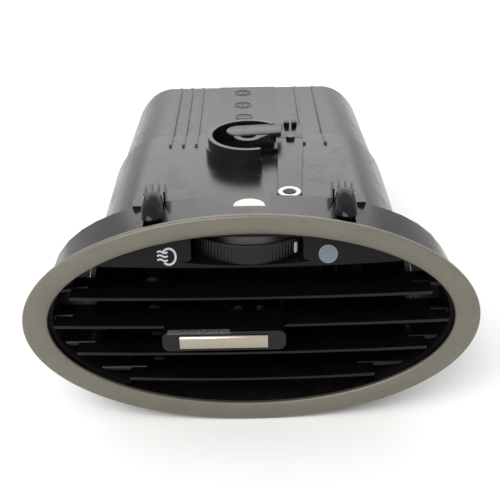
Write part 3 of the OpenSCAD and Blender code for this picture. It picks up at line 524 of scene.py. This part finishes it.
turn = add(knurl, "ShaderNodeMath", {"operation": "MULTIPLY", 1: 2 * pi}, {0: spot.outputs[0]})
along = add(knurl, "ShaderNodeMath", {"operation": "ADD", 1: 0.5}, {0: spot.outputs[1]})
shares = []
# Along the tread's section: its share of the radius, its share of the height, and how deep the ribs are cut
out_of = [(0, 0.9), (0.1, 0.972), (0.16, 0.99), (0.22, 1), (0.65, 1), (0.71, 0.99), (0.77, 0.972),
          (0.84, 0.9), (1, 0.9)]
up_of = [(0, 0), (0.1, 0), (0.16, 0.03), (0.22, 0.12), (0.65, 0.88), (0.71, 0.97), (0.77, 1), (0.84, 1),
         (1, 0)]
cut_of = [(0, 0), (0.13, 0), (0.22, 1), (0.65, 1), (0.74, 0), (1, 0)]
for line_of in (out_of, up_of, cut_of):
    share = add(knurl, "ShaderNodeFloatCurve", (), {"Value": along.outputs[0]})
    line = share.mapping.curves[0]
    for k, at in enumerate(line_of):
        last = k == len(line_of) - 1
        knot = line.points[0] if k == 0 else line.points[-1] if last else line.points.new(*at)
        knot.location = at
    for knot in line.points:
        knot.handle_type = "VECTOR"
    share.mapping.update()
    shares.append(share.outputs[0])
count = add(knurl, "ShaderNodeMath", {"operation": "MULTIPLY"},
            {0: turn.outputs[0], 1: given.outputs["Ribs"]})
wave = add(knurl, "ShaderNodeMath", {"operation": "COSINE"}, {0: count.outputs[0]})
dip = add(knurl, "ShaderNodeMath", {"operation": "MULTIPLY_ADD", 1: 0.5, 2: -0.5}, {0: wave.outputs[0]})
deep = add(knurl, "ShaderNodeMath", {"operation": "MULTIPLY"}, {0: given.outputs["Rib Depth"], 1: shares[2]})
full = add(knurl, "ShaderNodeMath", {"operation": "MULTIPLY"}, {0: given.outputs["Radius"], 1: shares[0]})
radius = add(knurl, "ShaderNodeMath", {"operation": "MULTIPLY_ADD"},
             {0: dip.outputs[0], 1: deep.outputs[0], 2: full.outputs[0]})
flat = []
for kind in ("COSINE", "SINE"):
    swing = add(knurl, "ShaderNodeMath", {"operation": kind}, {0: turn.outputs[0]})
    flat.append(add(knurl, "ShaderNodeMath", {"operation": "MULTIPLY"},
                    {0: radius.outputs[0], 1: swing.outputs[0]}))
lift = add(knurl, "ShaderNodeMapRange", (),
           {"Value": shares[1], "To Min": given.outputs["Low"], "To Max": given.outputs["High"]})
spun = add(knurl, "ShaderNodeCombineXYZ", (),
           {0: flat[0].outputs[0], 1: flat[1].outputs[0], 2: lift.outputs[0]})
moved = add(knurl, "GeometryNodeSetPosition", (), {"Geometry": band.outputs[0], "Position": spun.outputs[0]})
wheel_y, frame_floor = 25.2, -44.5
axle = place(0, wheel_y, frame_floor)
home = add(knurl, "GeometryNodeTransform", {"Translation": axle}, {"Geometry": moved.outputs[0]})
closed = add(knurl, "GeometryNodeMergeByDistance", {"Distance": 2e-6}, {"Geometry": home.outputs[0]})
real = add(knurl, "GeometryNodeRealizeInstances", (), {"Geometry": closed.outputs[0]})
coated = add(knurl, "GeometryNodeSetMaterial", (),
             {"Geometry": real.outputs[0], "Material": given.outputs["Rubber"]})
add(knurl, "NodeGroupOutput", (), {0: coated.outputs[0]})
tyre = made_by(knurl, "wheel_tread", tread)
tyre.modifiers.new("Smooth curves", "NODES").node_group = smoothing
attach(tyre, "wheel")

angle, mark_z = radians(-48), 28.1


def on_tread(radius):
    """Maps across and up on the mark to a point at this radius of the wheel, in mm."""
    return lambda across, up: (radius * cos(angle) - across * sin(angle),
                               wheel_y + radius * sin(angle) + across * cos(angle), up + mark_z)


mark = prism(rounded(1.35, 4.4, 0.6), on_tread(23.2), on_tread(24.42))
mark = shell("mark_pill", mark, nylon, "wheel", edge=0.15)
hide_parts("wheel_mark")

# Flap with its foam seal, crank and link bar
# The flap is the same dull acetal as the strips, with grey closed-cell foam along its edge. Crank and bar are
# satin black acetal.
finish(["flap_plate"], dull)
finish(["flap_seal"], moulded("Grey closed cell foam", "#3b3b3d", "#47474a", 0.85, 0.1, 0.35, 0.06, ior=1.4))
satin = moulded("Satin black acetal", "#131314", "#1c1c1d", 0.26, 0.14, 1.8, 0.01, ior=1.47)
finish(["flap_crank", "link_bar"], satin, 0.15)

# Date dials
# Three date inserts of the mould leave a row of round marks on the duct's top, in the shell's own ABS. Each
# has a ring, a disc with an arrow, and plain ticks between them.
round_steps = 48
form = bmesh.new()
for inner, outer, low, high in ((3.85, 4.3, -0.3, 0.16), (2.5, 2.75, -0.3, 0.12), (0.05, 2.2, -0.3, 0.06)):
    loops = []
    for r, h in ((inner, low), (outer, low), (outer, high), (inner, high)):
        turns = [2 * pi * k / round_steps for k in range(round_steps)]
        loops.append([form.verts.new((r * cos(t) / 1000, r * sin(t) / 1000, h / 1000)) for t in turns])
    for a, b in zip(loops, loops[1:] + loops[:1]):
        for k in range(round_steps):
            j = (k + 1) % round_steps
            form.faces.new((a[k], a[j], b[j], b[k]))


def stud(form, outline, low, high):
    """A small flat-topped stud on the dial, from its outline in mm."""
    rings = [[form.verts.new((x / 1000, y / 1000, h / 1000)) for x, y in outline] for h in (low, high)]
    form.faces.new(rings[0][::-1])
    form.faces.new(rings[1])
    for i in range(len(outline)):
        j = (i + 1) % len(outline)
        form.faces.new((rings[0][i], rings[0][j], rings[1][j], rings[1][i]))


tick_inner, tick_outer, tick_half = 2.95, 3.65, 0.11
for k in range(12):
    t = 2 * pi * k / 12
    box = ((tick_inner, -tick_half), (tick_outer, -tick_half), (tick_outer, tick_half),
           (tick_inner, tick_half))
    stud(form, [(r * cos(t) - d * sin(t), r * sin(t) + d * cos(t)) for r, d in box], -0.1, 0.12)
arrow = ((-0.2, -1.7), (0.2, -1.7), (0.2, 0.6), (0.75, 0.6), (0, 1.9), (-0.75, 0.6), (-0.2, 0.6))
stud(form, arrow, 0, 0.2)
bmesh.ops.recalc_face_normals(form, faces=form.faces)
pattern = bpy.data.objects.new("dial_pattern", bpy.data.meshes.new("dial_pattern"))
form.to_mesh(pattern.data)
form.free()
dials = bpy.data.node_groups.new("Date dials", "GeometryNodeTree")
dials.interface.new_socket("Geometry", in_out="INPUT", socket_type="NodeSocketGeometry")
dials.interface.new_socket("Pattern", in_out="INPUT", socket_type="NodeSocketObject").default_value = pattern
lean_back = dials.interface.new_socket("Lean Back", in_out="INPUT", socket_type="NodeSocketFloat")
lean_back.default_value = radians(-2)
dials.interface.new_socket("Plastic", in_out="INPUT", socket_type="NodeSocketMaterial")
dials.interface.new_socket("Geometry", in_out="OUTPUT", socket_type="NodeSocketGeometry")
given = add(dials, "NodeGroupInput")
dial = add(dials, "GeometryNodeObjectInfo", (), {"Object": given.outputs["Pattern"]})
tilt = add(dials, "ShaderNodeCombineXYZ", (), {0: given.outputs["Lean Back"]})
rows = add(dials, "GeometryNodeInstanceOnPoints", (),
           {"Points": given.outputs[0], "Instance": dial.outputs["Geometry"], "Rotation": tilt.outputs[0]})
real = add(dials, "GeometryNodeRealizeInstances", (), {"Geometry": rows.outputs[0]})
black = add(dials, "GeometryNodeSetMaterial", (),
            {"Geometry": real.outputs[0], "Material": given.outputs["Plastic"]})
add(dials, "NodeGroupOutput", (), {0: black.outputs[0]})
landing = []
for x, y in ((-2, 153.4), (-2, 134.5), (-1.6, 117.5)):
    landing.append(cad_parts["duct_upper"].ray_cast(place(x, y, 80), (0, 0, -1))[1])
stamp = made_by(dials, "date_dials", gloss_abs, landing)
bpy.data.objects.remove(pattern)
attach(stamp, "housing")

# Tail of the link bar and cap of the crank
# The link bar runs on past the crank's pin to a tail with two split prongs of black acetal. The crank's lever
# has a smooth cap with a round left end, level with the rim of the wall around it.
tail_outline = [(12.6, 84), (23.4, 84), (23.3, 98.5), (22.2, 100.6), (15.2, 101), (13.4, 99.5)]
tail = prism(tail_outline, lambda x, y: (x, y, 36.15), lambda x, y: (x, y, 37.36))
tail = shell("link_tail", tail, satin, "link", edge=0.15)
pin_x, pin_y = 18.6, 97.6
for side in (-1, 1):
    half = [(0.5, -1.9), (2.4, -1.6), (2.9, -0.6), (2.9, 0.6), (2.4, 1.6), (0.5, 1.9)]
    stem = prism(half, lambda x, y: (pin_x + side * x, pin_y + y, 37.3),
                 lambda x, y: (pin_x + side * x, pin_y + y, 39.6))
    prong = shell("link_prong", stem, acetal, "link", edge=0.35)

end_x, end_y, end_r = -3.6, 80.6, 5.4
cap = [(end_x + end_r * cos(radians(t)), end_y + end_r * sin(radians(t))) for t in range(88, 263, 12)]
cap += [(9, 76.6), (13.8, 77.6), (14.6, 87.4), (8, 87.2)]
cap = prism(cap, lambda x, y: (x, y, 40.5), lambda x, y: (x, y, 42.75))
cap = shell("crank_cap", cap, satin, "flap", edge=0.4)

# Barbs and fins of the snap clips
# Each clip of black acetal ends in a long glossy barb that rises to the rear. Its slices shrink toward barb_y
# and barb_z at both sides, while the foot below foot_top keeps its size. Thin upright fins stand behind it.
barb_side = [(4.9, 40.9), (6.2, 39.2), (10, 38.9), (12, 38.9), (12, 37), (26, 37), (26, 38.6), (21, 38.9),
             (20.4, 44.3), (19, 45.5), (16.6, 45.4), (11, 44.2), (7, 42.9)]
barb_y, barb_z, foot_top = 13, 41, 38.95
for side, name in ((-1, "left"), (1, "right")):
    form = bmesh.new()
    rows = []
    for x, share in ((30.6, 0.62), (31.3, 0.84), (32.6, 0.97), (34.1, 1), (35.6, 0.97), (36.9, 0.84),
                     (37.6, 0.62)):
        outline = [((y - barb_y) * share + barb_y, (z - barb_z) * share + barb_z) if z > foot_top else (y, z)
                   for y, z in barb_side]
        rows.append([form.verts.new(place(side * x, y, z)) for y, z in outline])
    for a, b in zip(rows, rows[1:]):
        for i in range(len(barb_side)):
            j = (i + 1) % len(barb_side)
            form.faces.new((a[i], b[i], b[j], a[j]))
    form.faces.new(rows[0])
    form.faces.new(rows[-1][::-1])
    barb = shell("clip_barb_" + name, form, acetal, "housing", edge=0.3)
    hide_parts("snap_clip_" + name)
fins = bpy.data.node_groups.new("Clip fins", "GeometryNodeTree")
fins.interface.new_socket("Geometry", in_out="INPUT", socket_type="NodeSocketGeometry")
fin_size = fins.interface.new_socket("Fin Size", in_out="INPUT", socket_type="NodeSocketVector")
fin_size.default_value = (0.0007, 0.0068, 0.0076)
fins.interface.new_socket("Plastic", in_out="INPUT", socket_type="NodeSocketMaterial")
fins.interface.new_socket("Geometry", in_out="OUTPUT", socket_type="NodeSocketGeometry")
given = add(fins, "NodeGroupInput")
blade = add(fins, "GeometryNodeMeshCube", (), {"Size": given.outputs["Fin Size"]})
stand = add(fins, "GeometryNodeInstanceOnPoints", (),
            {"Points": given.outputs[0], "Instance": blade.outputs[0]})
real = add(fins, "GeometryNodeRealizeInstances", (), {"Geometry": stand.outputs[0]})
black = add(fins, "GeometryNodeSetMaterial", (),
            {"Geometry": real.outputs[0], "Material": given.outputs["Plastic"]})
add(fins, "NodeGroupOutput", (), {0: black.outputs[0]})
fin_x, fin_gap = 37.2, 2.3
feet = [place(side * (fin_x - fin_gap * k), 22.2 + 0.5 * k, 41.2 - 0.5 * abs(k - 1.5))
        for side in (-1, 1) for k in range(4)]
comb = made_by(fins, "clip_fins", acetal, feet)
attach(comb, "housing")

# Studio
# A pale table, an even white room, a broad panel behind the vent and a soft lamp over the camera.
form = bmesh.new()
bmesh.ops.create_grid(form, x_segments=1, y_segments=1, size=3)
mesh = bpy.data.meshes.new("table")
form.to_mesh(mesh)
form.free()
table = bpy.data.objects.new("table", mesh)
bpy.context.scene.collection.objects.link(table)
top = bpy.data.materials.new("Matt white table")
top.use_nodes = True
top.node_tree.nodes["Principled BSDF"].inputs["Base Color"].default_value = linear("#fafaf8")
top.node_tree.nodes["Principled BSDF"].inputs["Roughness"].default_value = 0.9
mesh.materials.append(top)

# The room lights the part with 0.8 and shows as full white to the camera and in reflections
world = bpy.data.worlds.new("White room")
world.use_nodes = True
tree = world.node_tree
tree.nodes.clear()
path = add(tree, "ShaderNodeLightPath")
seen = add(tree, "ShaderNodeMath", {"operation": "MAXIMUM"},
           {0: path.outputs["Is Camera Ray"], 1: path.outputs["Is Glossy Ray"]})
seen = add(tree, "ShaderNodeMath", {"operation": "MAXIMUM"},
           {0: seen.outputs[0], 1: path.outputs["Is Transmission Ray"]})
level = add(tree, "ShaderNodeMapRange", {"To Min": 0.8, "To Max": 1.0}, {"Value": seen.outputs[0]})
sky = add(tree, "ShaderNodeBackground", {"Color": (1, 1, 1, 1)}, {"Strength": level.outputs[0]})
add(tree, "ShaderNodeOutputWorld", (), {"Surface": sky.outputs[0]})
bpy.context.scene.world = world


def lamp(name, spot, target, wide, high, watts):
    light = bpy.data.lights.new(name, "AREA")
    light.shape = "RECTANGLE"
    light.size, light.size_y, light.energy = wide, high, watts
    held = bpy.data.objects.new(name, light)
    held.location = spot
    held.rotation_euler = (Vector(target) - Vector(spot)).to_track_quat("-Z", "Y").to_euler()
    bpy.context.scene.collection.objects.link(held)


lamp("panel behind", (0, 1.05, 0.72), (0, 0.02, 0.08), 1.3, 0.62, 4)
lamp("lamp over the camera", (-0.45, -0.8, 1.0), (0, -0.05, 0.05), 0.9, 0.7, 11)

# The camera as fitted to the photo: 870 pixels of focal length, 30 degrees down, rolled a little
lens_data = bpy.data.cameras.new("Camera")
lens_data.lens, lens_data.sensor_width, lens_data.clip_start = 62.64, 36, 0.01
camera = bpy.data.objects.new("Camera", lens_data)
tilt_up, roll = Matrix.Rotation(radians(60), 4, "X"), Matrix.Rotation(radians(-1.1), 4, "Z")
camera.matrix_world = Matrix.Translation((0, -0.338, 0.2255)) @ tilt_up @ roll
bpy.context.scene.collection.objects.link(camera)
bpy.context.scene.camera = camera
bpy.context.scene.view_settings.view_transform = "Standard"

bpy.context.view_layer.update()
